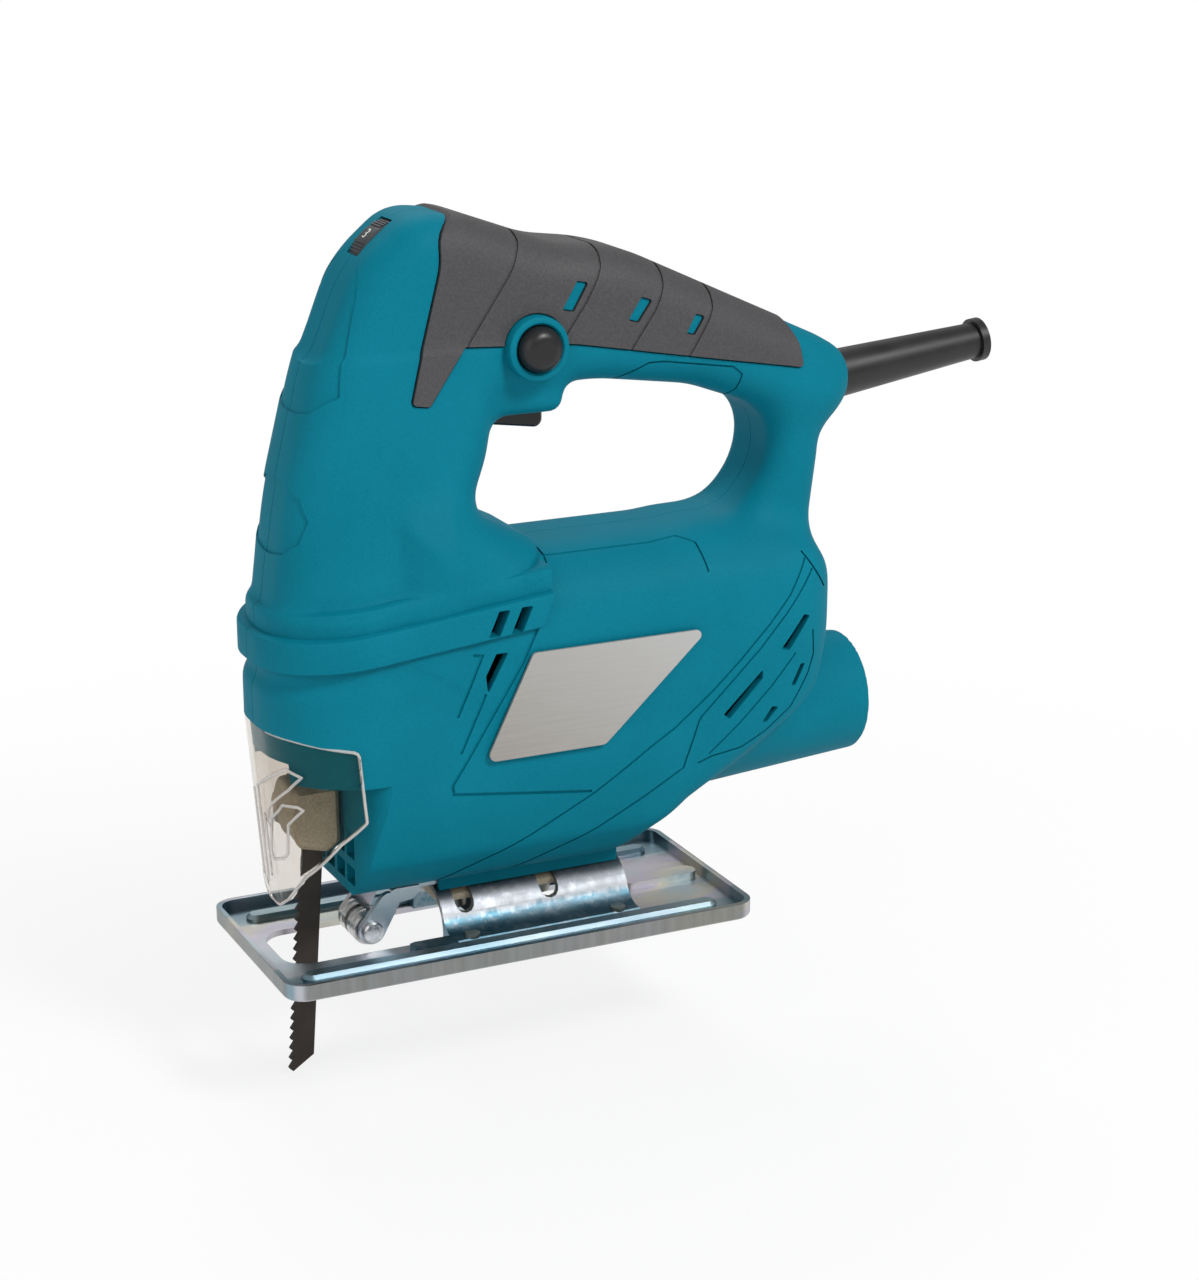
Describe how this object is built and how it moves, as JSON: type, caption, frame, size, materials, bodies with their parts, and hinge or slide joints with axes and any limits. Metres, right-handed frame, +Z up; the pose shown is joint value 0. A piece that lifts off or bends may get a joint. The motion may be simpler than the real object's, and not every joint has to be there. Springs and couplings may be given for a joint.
{
  "type": "jigsaw",
  "caption": "Corded hand jigsaw: two-part housing with closed D-handle, trigger, speed dial, dust port, clear blade guard, tilting pressed base and reciprocating blade on a roller guide.",
  "frame": {"origin": "centre of the base plate on its sole, under the arch that the base tilts on", "axes": "+Z up out of the sole, +X to the rear, blade at -X, +Y to the tool's right"},
  "size_m": [0.2264, 0.066, 0.2351],
  "materials": {
    "shell": "fine-textured moulded plastic",
    "soft_grip": "soft-touch textured",
    "plate_silver": "satin foil, no print",
    "clear": "clear moulded polycarbonate",
    "black_plastic": "smooth black",
    "dark_plastic": "dark grey",
    "steel_screw": "zinc plated",
    "black_rubber": "smooth moulded",
    "zinc_steel": "pressed sheet, iridescent zinc plating",
    "blade_steel": "blackened, ground teeth",
    "sintered": "sintered, matt",
    "ground_steel": "ground",
    "lamination": "stacked sheet",
    "copper": "enamelled wire",
    "bronze": "sintered bush",
    "carbon": "carbon",
    "die_cast": "die cast"
  },
  "bodies": {
    "housing": {"housing_left": "shell", "housing_right": "shell", "handle_grip": "soft_grip", "name_plate": "plate_silver", "blade_guard": "clear", "housing_screws": "steel_screw", "cord_guard": "black_rubber", "cord_clamp": "black_plastic", "clamp_screws": "steel_screw", "switch_body": "black_plastic", "speed_module": "dark_plastic", "stator_core": "lamination", "field_coils": "copper", "front_bearing": "ground_steel", "rear_bearing": "ground_steel", "brush_holders": "black_plastic", "carbon_brushes": "carbon", "gear_plate": "die_cast", "gear_pin": "ground_steel", "gear_clip": "ground_steel", "upper_bush": "bronze", "lower_bush": "bronze", "rod_seal": "black_rubber", "base_bolts": "steel_screw", "clamp_shoe": "sintered", "square_nuts": "steel_screw"},
    "armature": {"armature_shaft": "ground_steel", "armature_core": "lamination", "armature_windings": "copper", "commutator": "copper", "fan": "dark_plastic"},
    "gear": {"drive_gear": "ground_steel", "crank_pin": "ground_steel"},
    "plunger": {"plunger_rod": "ground_steel", "yoke_roller": "ground_steel", "blade_holder": "sintered", "holder_screws": "steel_screw", "blade": "blade_steel"},
    "trigger": {"trigger": "black_plastic"},
    "lock": {"lock_button": "black_plastic"},
    "dial": {"speed_dial": "dark_plastic"},
    "base": {"base_plate": "zinc_steel", "base_bracket": "zinc_steel", "bracket_rivets": "steel_screw"},
    "retainer": {"roller_retainer": "zinc_steel", "roller_pin": "ground_steel"},
    "roller": {"guide_roller": "ground_steel"}
  },
  "joints": [
    {"name": "armature_spin", "type": "hinge", "parent": "housing", "child": "armature", "pos_m": [0, 0, 0.068], "axis": [1, 0, 0], "continuous": true},
    {"name": "gear_spin", "type": "hinge", "parent": "housing", "child": "gear", "pos_m": [0, 0, 0.088], "axis": [1, 0, 0], "continuous": true},
    {"name": "plunger_stroke", "type": "slide", "parent": "housing", "child": "plunger", "axis": [0, 0, 1], "range_m": [-0.009, 0.009]},
    {"name": "trigger_press", "type": "slide", "parent": "housing", "child": "trigger", "axis": [0, 0, 1], "range_m": [0, 0.0045], "stiffness_N_per_m": 900, "springref_m": -0.002},
    {"name": "lock_press", "type": "slide", "parent": "housing", "child": "lock", "axis": [0, 1, 0], "range_m": [0, 0.003], "stiffness_N_per_m": 900, "springref_m": -0.001},
    {"name": "dial_turn", "type": "hinge", "parent": "housing", "child": "dial", "pos_m": [-0.0232, 0, 0.186], "axis": [0, 1, 0], "range_deg": [-135, 135]},
    {"name": "base_tilt", "type": "hinge", "parent": "housing", "child": "base", "pos_m": [0, 0, 0.002], "axis": [1, 0, 0], "range_deg": [-45, 45]},
    {"name": "retainer_slide", "type": "slide", "parent": "housing", "child": "retainer", "axis": [-1, 0, 0], "range_m": [0, 0.0065]},
    {"name": "roller_spin", "type": "hinge", "parent": "retainer", "child": "roller", "pos_m": [-0.0365, 0, 0.0056], "axis": [0, 1, 0], "continuous": true}
  ],
  "couplings": [
    {"joint": "gear_spin", "follows": "armature_spin", "ratio": -0.19048}
  ]
}
